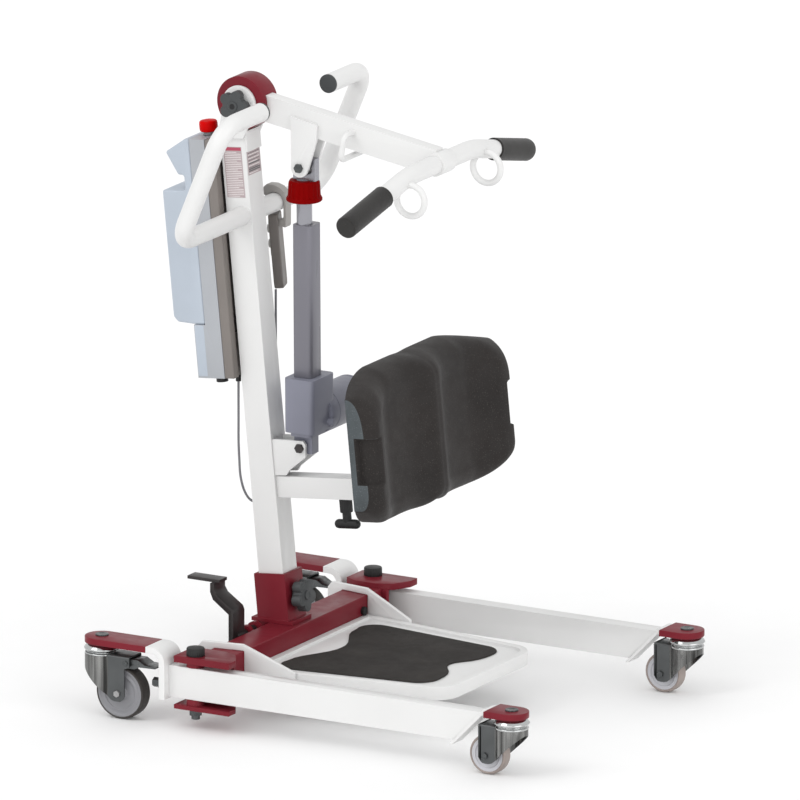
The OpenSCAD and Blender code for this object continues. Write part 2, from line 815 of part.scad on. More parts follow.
module actuator_rod() {
    slot_r = pin_r + 1.7;
    slope = -atan(slot_drop / slot_reach);
    color(LAVENDER) on_actuator() difference() {
        union() {
            translate([0, 0, 44]) cylinder(r = rod_r, h = ring_top - 44);
            span([-19, -8, ring_top], [27, 8, rod_len + 17]);
        }
        translate([0, 0, rod_len]) y_slab(concat(
            arc([0, 0], slot_r, slope + 90, slope + 270, 12),
            arc([slot_reach, -slot_drop], slot_r, slope - 90, slope + 90, 12)
        ), 40);
    }
}

module release_ring() {
    color("#9c0d14") on_actuator() difference() {
        union() {
            translate([0, 0, ring_low]) cylinder(r = 30, h = ring_top - 0.5 - ring_low);
            translate([0, 0, ring_low]) cylinder(r = 33, h = 8);
        }
        cylinder(r = rod_r + run_gap, h = 600);
    }
}

// ---- Knee pad -----------------------------------------------------------------------------

function pad_plan() = let (w = pad_w / 2, half = concat(
    [[pad_back, 0], [pad_back + 3, 120], [pad_back + 12, 185], [pad_back + 33, w - 6]],
    [[pad_back + 44, w], [pad_back + 68, w]],
    [[pad_back + 80, w - 14], [pad_back + 80, w - 30], [pad_back + 66, w - 62]],
    [[pad_back + 57, 160], [pad_back + 56, 110], [pad_back + 63, 60], [pad_back + 74, 24], [pad_back + 78, 0]]
)) concat(half, [for (i = [len(half) - 2:-1:1]) [half[i][0], -half[i][1]]]);

module knee_pad() {
    w = pad_w / 2;
    top = pad_q0 + pad_h;
    color(DARK) on_mast() intersection() {
        translate([0, 0, pad_q0]) linear_extrude(pad_h) polygon(pad_plan());
        rotate([90, 0, 90]) linear_extrude(600) polygon(concat(
            [[0, pad_q0 + 4]], [[60, pad_q0]], [[150, pad_q0 + 2]],
            arc([w - 60, pad_q0 + 72], 60, 290, 360, 5),
            arc([w - 60, top - 66], 60, 0, 75, 5), [[135, top - 1]],
            [[0, top]], [[-135, top - 1]],
            arc([60 - w, top - 66], 60, 105, 180, 5),
            arc([60 - w, pad_q0 + 72], 60, 180, 250, 5),
            [[-150, pad_q0 + 2], [-60, pad_q0]]
        ));
    }
}

module knee_bracket() {
    h = inner_w / 2;
    color(STEEL) on_mast(0, arm_q) difference() {
        union() {
            span([half_mast + 60, -h, -h], [pad_back - 7, h, h]);
            span([pad_back - 8, -70, -18], [pad_back - 0.2, 70, 200]);
        }
        span([half_mast + 59, -h + wall, -h + wall], [pad_back - 9, h - wall, h - wall]);
    }
}

module clamp_handle() {
    color(DARK) on_mast(clamp_p, arm_q - arm_w / 2) {
        translate([0, 0, -28.3]) cylinder(r = 12, h = 28);
        translate([0, 0, -42]) cylinder(r = 8, h = 15);
        translate([0, 0, -50]) rotate([0, 90, 0]) cylinder(r = 8.5, h = 50, center = true);
        translate([0, 0, -2]) cylinder(r = 5, h = 4);
    }
}

module mast_knob() {
    color(DARK) on_mast(socket_w / 2 + 8.3, knob_q) rotate([0, 90, 0]) {
        star_knob(62, 18);
        translate([0, 0, -14]) cylinder(r = screw_r, h = 10);
    }
}

module boom_knob() {
    color(DARK) translate([hinge_x, -half_mast - ear_t - 8.3, hinge_z]) rotate([90, 0, 0])
        star_knob(60, 14);
}

module estop_button() {
    color("#b40d10") on_mast(estop_p, box_q1 + 0.3) {
        cylinder(r = 11, h = 8);
        translate([0, 0, 7]) cylinder(r = 16.5, h = 19);
    }
}

cross_member();
mast_socket();
pivot_brackets();
pivot_bolts();
gusset_plates();
footplate();
foot_mat();
base_bumpers();
mast_tube();
mast_head();
lower_bracket();
knee_arm();
push_handles();
handle_caps();
mount_rail();
control_box_front();
control_box_rear();
battery();
cable_glands();
pendant();
pendant_cord();
leg_tube(-1);  // leg_tube_right
leg_gooseneck(-1);  // leg_gooseneck_right
caster_plates(-1);  // caster_plates_right
leg_tube(1);  // leg_tube_left
leg_gooseneck(1);  // leg_gooseneck_left
caster_plates(1);  // caster_plates_left
rear_fork(-1);  // rear_right_fork
rear_hub(-1);  // rear_right_hub
rear_tyre(-1);  // rear_right_tyre
rear_brake(-1);  // rear_right_brake
rear_fork(1);  // rear_left_fork
rear_hub(1);  // rear_left_hub
rear_tyre(1);  // rear_left_tyre
rear_brake(1);  // rear_left_brake
front_fork(-1);  // front_right_fork
front_wheel(-1);  // front_right_wheel
front_fork(1);  // front_left_fork
front_wheel(1);  // front_left_wheel
leg_pedal();
pedal_lugs();
boom_hub();
boom_tube();
boom_pins();
crossbar();
sling_loops();
grips();
actuator_tube();
actuator_gearbox();
actuator_motor();
actuator_rod();
release_ring();
knee_pad();
knee_bracket();
clamp_handle();
mast_knob();
boom_knob();
estop_button();
pendant_button(button_up_z);  // pendant_button_up
pendant_button(button_down_z);  // pendant_button_down
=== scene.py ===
"""Looks for the sit to stand lift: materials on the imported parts, and the soft and turned pieces."""

import math

import bmesh
import bpy
from mathutils import Matrix, Vector


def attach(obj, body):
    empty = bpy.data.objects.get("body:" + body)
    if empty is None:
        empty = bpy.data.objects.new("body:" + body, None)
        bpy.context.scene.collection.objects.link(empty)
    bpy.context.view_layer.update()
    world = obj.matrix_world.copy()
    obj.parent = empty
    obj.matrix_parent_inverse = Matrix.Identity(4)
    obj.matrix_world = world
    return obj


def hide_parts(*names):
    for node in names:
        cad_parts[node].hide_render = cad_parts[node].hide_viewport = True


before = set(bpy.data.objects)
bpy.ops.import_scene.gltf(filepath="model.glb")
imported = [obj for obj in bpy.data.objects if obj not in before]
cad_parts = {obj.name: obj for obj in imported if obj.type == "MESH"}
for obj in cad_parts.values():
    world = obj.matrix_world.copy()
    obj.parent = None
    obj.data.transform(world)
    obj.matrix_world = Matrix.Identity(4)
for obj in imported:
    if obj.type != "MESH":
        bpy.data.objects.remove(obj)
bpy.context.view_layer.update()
MM = 0.001
TAU = 2 * math.pi

# ---- The lift's own frames ---------------------------------------------------------------

LEAN = math.radians(5.64)
MAST_FOOT = Vector((-0.236, 0, 0.115))
HINGE = Vector((-0.310, 0, 1.104))
BOOM_DROP = math.radians(9.2)
FOOT_PIN = Vector((-0.1867, 0, 0.4661))
ROD_TILT = math.radians(-0.37)
LEG_Y = 0.326
REAR_STEM_X, FRONT_STEM_X = -0.430, 0.433
TRAIL = 0.045
PIVOT_X = -0.232


def turn_y(angle):
    """A turn about Y that carries +Z towards +X."""
    return Matrix.Rotation(angle, 4, "Y")


MAST = Matrix.Translation(MAST_FOOT) @ turn_y(-LEAN) @ Matrix.Scale(MM, 4)
BOOM = Matrix.Translation(HINGE) @ turn_y(BOOM_DROP) @ Matrix.Scale(MM, 4)
CROSSBAR = BOOM @ Matrix.Translation((412, 0, 0))
ACTUATOR = Matrix.Translation(FOOT_PIN) @ turn_y(ROD_TILT) @ Matrix.Scale(MM, 4)
ROW = Matrix.Scale(MM, 4)


# ---- Camera --------------------------------------------------------------------------------

def add_camera():
    """A long lens at the side and a little above, as far back as its narrow view needs."""
    azimuth, elevation, distance = math.radians(29.8), math.radians(14.8), 60.0
    right = Vector((math.cos(azimuth), math.sin(azimuth), 0))
    up = Vector((-math.sin(azimuth) * math.sin(elevation), math.cos(azimuth) * math.sin(elevation),
                 math.cos(elevation)))
    back = right.cross(up)
    view_w, sensor = 1.468, 36.0
    data = bpy.data.cameras.new("camera")
    data.sensor_width = sensor
    data.lens = sensor * distance / view_w
    data.clip_start = 10
    data.clip_end = 200
    cam = bpy.data.objects.new("camera", data)
    turn = Matrix((right, up, back)).transposed().to_4x4()
    cam.matrix_world = Matrix.Translation(0.0105 * right + 0.5578 * up + distance * back) @ turn
    bpy.context.scene.collection.objects.link(cam)
    bpy.context.scene.camera = cam


add_camera()

# ---- Materials -----------------------------------------------------------------------------


def material(name, colour, rough, metal=0.0, grain=None, spot=0.06, spot_size=9.0, rough_spread=0.06,
             coat=0.0, sheen=0.0, streak=None, speckle=None, shine=0.5):
    """A shader with a slow drift of colour, a fine grain in bump and an uneven gloss.

    grain is (features per metre, height in mm), streak stretches the drift along an axis, and
    speckle is (second colour, features per metre, share)."""
    mat = bpy.data.materials.new(name)
    mat.use_nodes = True
    tree = mat.node_tree
    nodes, link = tree.nodes, tree.links.new
    shader = nodes["Principled BSDF"]
    shader.inputs["Metallic"].default_value = metal
    shader.inputs["Specular IOR Level"].default_value = shine
    shader.inputs["Coat Weight"].default_value = coat
    shader.inputs["Coat Roughness"].default_value = 0.12
    shader.inputs["Sheen Weight"].default_value = sheen
    coords = nodes.new("ShaderNodeTexCoord")
    place = nodes.new("ShaderNodeMapping")
    place.inputs["Scale"].default_value = streak or (1, 1, 1)
    link(coords.outputs["Object"], place.inputs["Vector"])

    def noise(size, detail=3.0, straight=False):
        n = nodes.new("ShaderNodeTexNoise")
        n.inputs["Scale"].default_value = size
        n.inputs["Detail"].default_value = detail
        link((coords if straight else place).outputs["Object" if straight else "Vector"], n.inputs["Vector"])
        return n.outputs["Fac"]

    def ramp(value, low, high, start=0.35, end=0.65):
        r = nodes.new("ShaderNodeValToRGB")
        r.color_ramp.elements[0].position, r.color_ramp.elements[1].position = start, end
        r.color_ramp.elements[0].color, r.color_ramp.elements[1].color = low, high
        link(value, r.inputs["Fac"])
        return r.outputs["Color"]

    def shade(c, k):
        return (min(c[0] * k, 1), min(c[1] * k, 1), min(c[2] * k, 1), 1)

    base = ramp(noise(spot_size), shade(colour, 1 - spot), shade(colour, 1 + spot))
    if speckle:
        second, size, share = speckle
        mix = nodes.new("ShaderNodeMix")
        mix.data_type = "RGBA"
        link(ramp(noise(size, 1.0, True), (0, 0, 0, 1), (1, 1, 1, 1), 1 - share, 1 - share + 0.08),
             mix.inputs["Factor"])
        link(base, mix.inputs["A"])
        mix.inputs["B"].default_value = (*second, 1)
        base = mix.outputs["Result"]
    link(base, shader.inputs["Base Color"])
    low, high = max(rough - rough_spread, 0.02), min(rough + rough_spread, 1)
    link(ramp(noise(spot_size * 4, 4.0), (low,) * 3 + (1,), (high,) * 3 + (1,)), shader.inputs["Roughness"])
    if grain:
        bump = nodes.new("ShaderNodeBump")
        bump.inputs["Strength"].default_value = 1.0
        bump.inputs["Distance"].default_value = grain[1] * MM
        link(noise(grain[0], 2.0, not streak), bump.inputs["Height"])
        link(bump.outputs["Normal"], shader.inputs["Normal"])
    return mat


WHITE = material("white_powder_coat", (0.72, 0.72, 0.715), 0.38, grain=(1400, 0.035), spot=0.012, coat=0.08,
                 shine=0.35)
MAROON = material("maroon_powder_coat", (0.165, 0.013, 0.022), 0.36, grain=(1300, 0.03), spot=0.08,
                  shine=0.16)
ZINC = material("zinc_plate", (0.1, 0.106, 0.108), 0.34, metal=0.85, grain=(500, 0.01), spot=0.14,
                spot_size=28, rough_spread=0.1)
CHROME = material("bright_zinc", (0.5, 0.51, 0.51), 0.16, metal=1.0, grain=(300, 0.004), spot=0.08,
                  spot_size=40, rough_spread=0.05)
FORK_FLAT = material("pressed_zinc", (0.088, 0.093, 0.095), 0.38, metal=0.55, grain=(500, 0.01), spot=0.1,
                     spot_size=20)
# Painted reflections: a lighter zinc for the forks' round skirts, with strong vertical light and dark bands
# standing in for studio reflections.
ZINC_PAINTED_REFLECTIONS = material("pressed_zinc_painted_reflections", (0.14, 0.14, 0.137), 0.26, metal=0.9, grain=(500, 0.008),
                      spot=0.75, spot_size=110, streak=(1, 1, 0.03))
AXLE = material("axle_head", (0.36, 0.36, 0.36), 0.36, metal=0.7, grain=(600, 0.01), spot=0.08, spot_size=60)
TREAD = material("tyre_rubber", (0.035, 0.031, 0.028), 0.62, grain=(900, 0.12), spot=0.2, spot_size=22)
HUB = material("hub_plastic", (0.235, 0.235, 0.25), 0.4, grain=(1100, 0.03), spot=0.05)
LIGHT_HUB = material("light_hub_plastic", (0.5, 0.5, 0.53), 0.42, grain=(1100, 0.03), spot=0.05)
LIGHT_TREAD = material("light_tread", (0.28, 0.235, 0.215), 0.5, grain=(900, 0.08), spot=0.12, spot_size=30)
BLACK = material("black_plastic", (0.011, 0.011, 0.0115), 0.48, grain=(1500, 0.05), spot=0.15, shine=0.35)
KNOB = material("knob_plastic", (0.052, 0.056, 0.058), 0.5, grain=(1500, 0.05), spot=0.1, shine=0.35)
MAT = material("mat_rubber", (0.03, 0.027, 0.025), 0.85, grain=(1100, 0.4), spot=0.15, spot_size=14,
               speckle=((0.065, 0.06, 0.055), 700, 0.38), shine=0.2)
GRIP = material("grip_foam", (0.022, 0.021, 0.02), 0.72, grain=(900, 0.3), spot=0.2, sheen=0.15,
                speckle=((0.05, 0.046, 0.042), 800, 0.36), shine=0.25)
PAD = material("pad_foam", (0.0165, 0.0135, 0.0125), 0.7, grain=(620, 0.3), spot=0.18, spot_size=10,
               sheen=0.06, speckle=((0.05, 0.045, 0.04), 520, 0.36), shine=0.28)
# Painted highlight: a lighter, bluish copy of the pad foam for the side walls, standing in for light falling
# on them.
PAD_SIDE_PAINTED_HIGHLIGHT = material("pad_side_painted_highlight", (0.055, 0.066, 0.072), 0.55, grain=(620, 0.3), spot=0.25, spot_size=16,
                    speckle=((0.15, 0.165, 0.17), 520, 0.34), shine=0.4)
LAVENDER = material("actuator_housing", (0.2, 0.205, 0.255), 0.46, grain=(1200, 0.05), spot=0.05)
ALU = material("anodised_tube", (0.19, 0.187, 0.215), 0.34, metal=0.3, grain=(900, 0.02), spot=0.05,
               streak=(1, 1, 0.04), rough_spread=0.08)
ROD = material("rod_steel", (0.33, 0.33, 0.36), 0.22, metal=0.8, grain=(900, 0.01), spot=0.04,
               streak=(1, 1, 0.05))
SHELL_BROWN = material("shell_brown_grey", (0.185, 0.165, 0.152), 0.5, grain=(1300, 0.06), spot=0.05)
SHELL_GREY = material("shell_grey", (0.37, 0.385, 0.41), 0.44, grain=(1300, 0.05), spot=0.03)
BATTERY = material("battery_shell", (0.42, 0.47, 0.535), 0.42, grain=(1300, 0.05), spot=0.03)
RED = material("ring_plastic", (0.19, 0.0003, 0.0004), 0.5, grain=(800, 0.03), spot=0.08, shine=0.025)
STOP_RED = material("stop_plastic", (0.6, 0.0006, 0.0006), 0.4, grain=(800, 0.015), spot=0.04, shine=0.05)
PENDANT = material("pendant_plastic", (0.15, 0.135, 0.125), 0.5, grain=(1300, 0.06), spot=0.06)
HOOK = material("hook_plastic", (0.34, 0.325, 0.31), 0.5, grain=(1300, 0.05), spot=0.05)
BUTTON = material("button_plastic", (0.5, 0.49, 0.47), 0.36, grain=(900, 0.03), spot=0.04)
CORD = material("cord_sheath", (0.17, 0.17, 0.185), 0.45, grain=(1500, 0.03), spot=0.06)
DARK_STEEL = material("dark_steel", (0.045, 0.04, 0.04), 0.38, metal=0.6, grain=(700, 0.03), spot=0.12)
LABEL = material("label_film", (0.82, 0.8, 0.79), 0.3, grain=(600, 0.01), spot=0.02)
LABEL_ROSE = material("label_rose", (0.42, 0.075, 0.12), 0.4, grain=(600, 0.01), spot=0.05, shine=0.2)
LABEL_PRINT = material("label_print", (0.44, 0.36, 0.37), 0.4, grain=(600, 0.01), spot=0.05, shine=0.2)
LABEL_DARK = material("label_dark", (0.10, 0.095, 0.1), 0.34, grain=(600, 0.01), spot=0.05)

NODE_MATERIALS = {
    WHITE: ["gusset_plates", "footplate", "mast_tube", "mast_head", "lower_bracket", "knee_arm",
            "push_handles", "leg_tube_right", "leg_tube_left", "leg_gooseneck_right",
            "leg_gooseneck_left", "boom_tube", "crossbar", "sling_loops"],
    MAROON: ["cross_member", "mast_socket", "pivot_brackets", "caster_plates_right",
             "caster_plates_left", "pedal_lugs", "boom_hub"],
    ZINC: ["pivot_bolts", "boom_pins", "knee_bracket", "rear_right_brake", "rear_left_brake"],
    BLACK: ["base_bumpers", "cable_glands"], KNOB: ["mast_knob", "boom_knob", "handle_caps"],
    DARK_STEEL: ["mount_rail", "leg_pedal"],
    SHELL_BROWN: ["control_box_front"], SHELL_GREY: ["control_box_rear"], BATTERY: ["battery"],
    LAVENDER: ["actuator_gearbox"], ALU: ["actuator_tube"], ROD: ["actuator_rod"],
    MAT: ["foot_mat"], BUTTON: ["pendant_button_up", "pendant_button_down"],
}

# Rounded edges in mm, on the parts whose edges show
EDGES = {
    2.2: ["mast_tube", "knee_arm", "leg_tube_right", "leg_tube_left", "boom_tube", "mast_socket"],
    2.0: ["cross_member", "leg_pedal", "mast_head"],
    5.5: ["actuator_gearbox"],
    1.5: ["gusset_plates", "lower_bracket", "caster_plates_right", "caster_plates_left",
          "pivot_brackets", "leg_gooseneck_right", "leg_gooseneck_left", "foot_mat"],
    4.0: ["control_box_rear", "battery"],
    3.0: ["footplate", "control_box_front", "mast_knob", "boom_knob"],
    0.8: ["rear_right_brake", "rear_left_brake", "handle_caps", "boom_hub", "actuator_tube"],
}


def dress_nodes():
    """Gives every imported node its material, and rounds the edges that show."""
    for mat, names in NODE_MATERIALS.items():
        for name in names:
            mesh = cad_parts[name].data
            mesh.materials.clear()
            mesh.materials.append(mat)
    for width, names in EDGES.items():
        for name in names:
            soften(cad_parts[name], width)


def paint_where(name, mat, inside):
    """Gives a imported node's fastener its own material: the faces whose middle inside() accepts, in mm."""
    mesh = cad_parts[name].data
    mesh.materials.append(mat)
    for face in mesh.polygons:
        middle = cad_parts[name].matrix_world @ face.center / MM
        if inside(middle):
            face.material_index = len(mesh.materials) - 1


def soften(obj, width, welded=False):
    """Rounds the sharp edges of a mesh by width mm."""
    if not welded:
        weld = obj.modifiers.new("weld", "WELD")
        weld.merge_threshold = 0.00002
        flat = obj.modifiers.new("flat", "DECIMATE")
        flat.decimate_type = "DISSOLVE"
        flat.angle_limit = math.radians(1.0)
    bevel = obj.modifiers.new("bevel", "BEVEL")
    bevel.width = width * MM
    bevel.segments = 3
    bevel.limit_method = "ANGLE"
    bevel.angle_limit = math.radians(38)
    bevel.miter_outer = "MITER_ARC"
    bevel.harden_normals = True
    for face in obj.data.polygons:
        face.use_smooth = True
    if hasattr(obj.data, "set_sharp_from_angle"):
        obj.data.set_sharp_from_angle(angle=math.radians(32))


dress_nodes()
# The ends of the pin, outside the bracket's ears, and the bolt behind each bent plate
BRACKET_EAR_Y = 23.1
NECK_BOLT_Y = LEG_Y / MM + 17
paint_where("lower_bracket", DARK_STEEL, lambda m: abs(m.y) > BRACKET_EAR_Y)
for neck in ("leg_gooseneck_right", "leg_gooseneck_left"):
    paint_where(neck, ZINC, lambda m: m.x < -292.2 and m.z < 100 and abs(abs(m.y) - NECK_BOLT_Y) < 14)

# ---- Making pieces -------------------------------------------------------------------------


def piece(name, verts, faces, mats, body, replaces=(), place=None, smooth=32):
    """A mesh piece from points in place's frame. mats is one material, or a list with face indices."""
    mesh = bpy.data.meshes.new(name)
    mesh.from_pydata([tuple((place or ROW) @ Vector(v)) for v in verts], [], faces)
    for mat in mats if isinstance(mats, list) else [mats]:
        mesh.materials.append(mat)
    shell = bmesh.new()
    shell.from_mesh(mesh)
    bmesh.ops.remove_doubles(shell, verts=shell.verts, dist=1e-6)
    bmesh.ops.recalc_face_normals(shell, faces=shell.faces)
    shell.to_mesh(mesh)
    shell.free()
    mesh.polygons.foreach_set("use_smooth", [True] * len(mesh.polygons))
    mesh.set_sharp_from_angle(angle=math.radians(smooth))
    obj = bpy.data.objects.new(name, mesh)
    bpy.context.scene.collection.objects.link(obj)
    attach(obj, body)
    if replaces:
        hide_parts(*replaces)
    return obj


def lathe(name, profile, mats, body, axis="Z", at=(0, 0, 0), place=None, replaces=(), sides=64,
          ribs=None, smooth=32):
    """A turned piece. profile is (radius, height) points from one end to the other, in mm, or a closed ring.

    ribs is (count, depth, first row, last row): those rows' radius swings in and out round the axis."""
    verts, faces = [], []
    for row, (radius, height) in enumerate(profile):
        for k in range(sides):
            a = TAU * k / sides
            r = radius
            if ribs and ribs[2] <= row <= ribs[3]:
                r -= ribs[1] * (0.5 + 0.5 * math.cos(ribs[0] * a)) ** 2
            x, y, z = r * math.cos(a), r * math.sin(a), height
            if axis == "Y":
                x, y, z = y, height, x
            elif axis == "X":
                x, y, z = height, x, y
            verts.append((x + at[0], y + at[1], z + at[2]))
    rows = len(profile)
    for row in range(rows - 1):
        for k in range(sides):
            k2 = (k + 1) % sides
            faces.append((row * sides + k, row * sides + k2, (row + 1) * sides + k2, (row + 1) * sides + k))
    for row in (0, rows - 1):
        if profile[row][0] > 0.01 and profile[0] != profile[-1]:
            faces.append(tuple(row * sides + k for k in range(sides)))
    return piece(name, verts, faces, mats, body, replaces, place, smooth)


def rounded(points, radius, steps=4):
    """The same outline with each inner corner cut by a small arc."""
    out = [points[0]]
    for before, here, after in zip(points, points[1:], points[2:]):
        p, q, r = Vector(before), Vector(here), Vector(after)
        cut = min(radius, (p - q).length * 0.45, (r - q).length * 0.45)
        if cut < 0.05:
            out.append(here)
            continue
        start, end = q + (p - q).normalized() * cut, q + (r - q).normalized() * cut
        for k in range(steps + 1):
            t = k / steps
            out.append(tuple((1 - t) ** 2 * start + 2 * t * (1 - t) * q + t * t * end))
    out.append(points[-1])
    return out


def slab(name, outline, low, high, mats, body, place=None, replaces=(), plane="XZ", edge=0.0):
    """A plate: an outline in a plane, drawn out from low to high along the third axis, in mm."""
    n = len(outline)

    def point(a, b, c):
        return {"XZ": (a, c, b), "XY": (a, b, c), "YZ": (c, a, b)}[plane]

    verts = [point(a, b, low) for a, b in outline] + [point(a, b, high) for a, b in outline]
    faces = [tuple(range(n)), tuple(range(2 * n - 1, n - 1, -1))]
    faces += [(k, (k + 1) % n, n + (k + 1) % n, n + k) for k in range(n)]
    obj = piece(name, verts, faces, mats, body, replaces, place)
    if edge:
        soften(obj, edge, welded=True)
    return obj


# ---- Cord of the hand control -----------------------------------------------------------------

# The route of part.scad's cord, in metres
CORD_ROUTE = [
    (-0.322, -0.013, 0.574), (-0.322, -0.013, 0.560), (-0.322, -0.013, 0.540), (-0.322, -0.013, 0.500),
    (-0.322, -0.013, 0.460), (-0.321, -0.012, 0.425), (-0.320, -0.010, 0.395), (-0.316, -0.005, 0.368),
    (-0.311, 0.006, 0.348), (-0.306, 0.022, 0.338), (-0.302, 0.040, 0.338), (-0.300, 0.056, 0.348),
    (-0.299, 0.068, 0.368), (-0.299, 0.074, 0.395), (-0.299, 0.078, 0.430), (-0.299, 0.081, 0.480),
    (-0.300, 0.084, 0.540), (-0.300, 0.086, 0.600), (-0.300, 0.086, 0.660), (-0.300, 0.086, 0.700),
    (-0.300, 0.086, 0.716), (-0.300, 0.086, 0.728),
]
CORD_D = 0.0045


def spline_points(points, steps):
    """A smooth line through every point, the way part.scad draws it."""
    out = []
    for i in range(len(points) - 1):
        a, b, c, d = (Vector(points[min(max(j, 0), len(points) - 1)]) for j in (i - 1, i, i + 1, i + 2))
        for k in range(steps):
            t = k / steps
            out.append(0.5 * (2 * b + (c - a) * t + (2 * a - 5 * b + 4 * c - d) * t * t
                              + (3 * b - a - 3 * c + d) * t ** 3))
    return out + [Vector(points[-1])]


def add_cord():
    """One thin sheathed lead from the box's gland down and up to the hand control."""
    path = spline_points(CORD_ROUTE, 4)
    data = bpy.data.curves.new("pendant_lead", "CURVE")
    data.dimensions = "3D"
    data.bevel_depth = CORD_D / 2
    data.bevel_resolution = 4
    data.use_fill_caps = True
    line = data.splines.new("POLY")
    line.points.add(len(path) - 1)
    for point, place in zip(line.points, path):
        point.co = (*place, 1)
    data.materials.append(CORD)
    lead = bpy.data.objects.new("pendant_lead", data)
    bpy.context.scene.collection.objects.link(lead)
    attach(lead, "root")
    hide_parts("pendant_cord")


add_cord()

# ---- Knee pad ----------------------------------------------------------------------------------

PAD_HALF = 260.0
PAD_LOW, PAD_HIGH = 244.0, 528.0


def smooth_step(a, b, x):
    t = min(max((x - a) / (b - a), 0), 1)
    return t * t * (3 - 2 * t)


def pad_front(y, q):
    """How far forward the pad's face stands: a centre ridge, two lobes and raised wings."""
    s = abs(y)
    face = 351 + 25 * math.exp(-(s / 42) ** 2) + 35 * smooth_step(140, 240, s)
    face -= 22 * min(max((s - 238) / 22, 0), 1) ** 2
    inset = smooth_step(12, 30, s) * (1 - smooth_step(205, 219, s))
    inset *= smooth_step(276, 290, q) * (1 - smooth_step(458, 474, q))
    face -= 2.2 * inset + 1.6 * math.exp(-(s / 3.2) ** 2)
    return face


def pad_back(y):
    s = min(max((abs(y) - 135) / 123, 0), 1)
    return 295 + 36 * s ** 1.7


def pad_low(y):
    """The pad's lower edge: a notch at the middle, a slow wave, and raised corners."""
    s = abs(y)
    corner = min(max((s - 120) / 140, 0), 1) ** 2.5
    return PAD_LOW + 7 * math.exp(-(s / 22) ** 2) + 2 * (0.5 - 0.5 * math.cos(s / 30)) + 43 * corner


def pad_high(y):
    s = abs(y)
    return PAD_HIGH - 1.5 * math.exp(-(s / 20) ** 2) - 31 * min(max((s - 125) / 135, 0), 1) ** 1.3


def pad_depth(y, q):
    """The face's place once its top and bottom are rounded back to the pad's rear edge."""
    back, face = pad_back(y), pad_front(y, q)
    top, low = pad_high(y), pad_low(y)
    reach_top = 46 + 34 * smooth_step(200, PAD_HALF, abs(y))
    reach_low = 34
    k = 1.0
    if q > top - reach_top:
        k = max(1 - ((q - top + reach_top) / reach_top) ** 2.3, 0) ** (1 / 2.3)
    share = 1.0
    if q < low + reach_low:
        share = 0.45 + 0.55 * max(1 - ((low + reach_low - q) / reach_low) ** 2.2, 0) ** (1 / 2.2)
    return back + (face - back) * k * share


def add_knee_pad():
    """The moulded pad as one closed form: a face sheet, a rear sheet and the wall between them."""
    across, high = 150, 84
    verts, faces = [], []

    def row_point(i, j, rear):
        u = -1 + 2 * i / across
        y = PAD_HALF * (abs(u) ** 0.92) * (1 if u > 0 else -1)
        v = j / high
        v = 0.5 - 0.5 * math.cos(math.pi * v) * (0.75 + 0.25 * abs(math.cos(math.pi * v)))
        q = pad_low(y) + (pad_high(y) - pad_low(y)) * v
        return (pad_back(y) if rear else max(pad_depth(y, q), pad_back(y) + 0.2), y, q)

    def strapped(p, y, q):
        """Sinks the strap's notch into the front corner of each side wall."""
        k = smooth_step(338, 341, q) * (1 - smooth_step(421, 424, q)) * smooth_step(344, 348, p)
        k *= smooth_step(233, 237, abs(y))
        inward = 11 * max(abs(y) - 236, 0) / 24
        return (p - 8 * k * smooth_step(350, 362, p), y - math.copysign(inward * k, y), q)

    for rear in (False, True):
        for i in range(across + 1):
            for j in range(high + 1):
                verts.append(row_point(i, j, rear))
    step = high + 1
    count = (across + 1) * step

    def at(i, j, rear):
        return (count if rear else 0) + i * step + j

    for i in range(across):
        for j in range(high):
            faces.append((at(i, j, 0), at(i + 1, j, 0), at(i + 1, j + 1, 0), at(i, j + 1, 0)))
            faces.append((at(i, j, 1), at(i, j + 1, 1), at(i + 1, j + 1, 1), at(i + 1, j, 1)))
    for i in range(across):
        for j in (0, high):
            faces.append((at(i, j, 0), at(i, j, 1), at(i + 1, j, 1), at(i + 1, j, 0)))
    walls = 14
    for i in (0, across):
        previous = [at(i, j, 0) for j in range(step)]
        for w in range(1, walls + 1):
            if w == walls:
                row = [at(i, j, 1) for j in range(step)]
            else:
                row = []
                for j in range(step):
                    a, b = Vector(verts[at(i, j, 0)]), Vector(verts[at(i, j, 1)])
                    verts.append(tuple(a.lerp(b, w / walls)))
                    row.append(len(verts) - 1)
            for j in range(high):
                faces.append((previous[j], previous[j + 1], row[j + 1], row[j]))
            previous = row
    verts = [strapped(*v) for v in verts]
    pad = piece("knee_pad_foam", verts, faces, [PAD, PAD_SIDE_PAINTED_HIGHLIGHT], "knee_support",
                ["knee_pad"], MAST, smooth=60)
    # The side walls take the foam's lit copy, a painted highlight.
    for face in pad.data.polygons:
        if abs(face.normal.y) > 0.86 and abs(face.center.y) > 0.2597:
            face.material_index = 1


add_knee_pad()

# ---- Casters --------------------------------------------------------------------------------------

# Per end, in mm: wheel radius, underside of the plate, half width and nose of the fork, radius of its skirt
CASTERS = {"rear": (50, 138, 23, 70, 32), "front": (37.5, 112, 20, 58, 30.5)}
SWIVEL_H = 16
PLATE_T = 12
FORK_T = 2.6
BRAKE_PIN = (62, 0, 110)


def caster_matrix(end, side):
    """A caster's own frame: its stem on the origin and its wheel towards +X."""
    x = REAR_STEM_X if end == "rear" else FRONT_STEM_X
    y = -LEG_Y if side == "right" else LEG_Y
    turn = Matrix.Rotation(0 if end == "rear" else math.pi, 4, "Z")
    return Matrix.Translation((x, y, 0)) @ turn @ Matrix.Scale(MM, 4)


def mirrored(half):
    """A wheel's profile from its half: (radius, height) from the bore out to the tread's middle."""
    return [(r, -h) for r, h in half] + [(r, h) for r, h in reversed(half)]


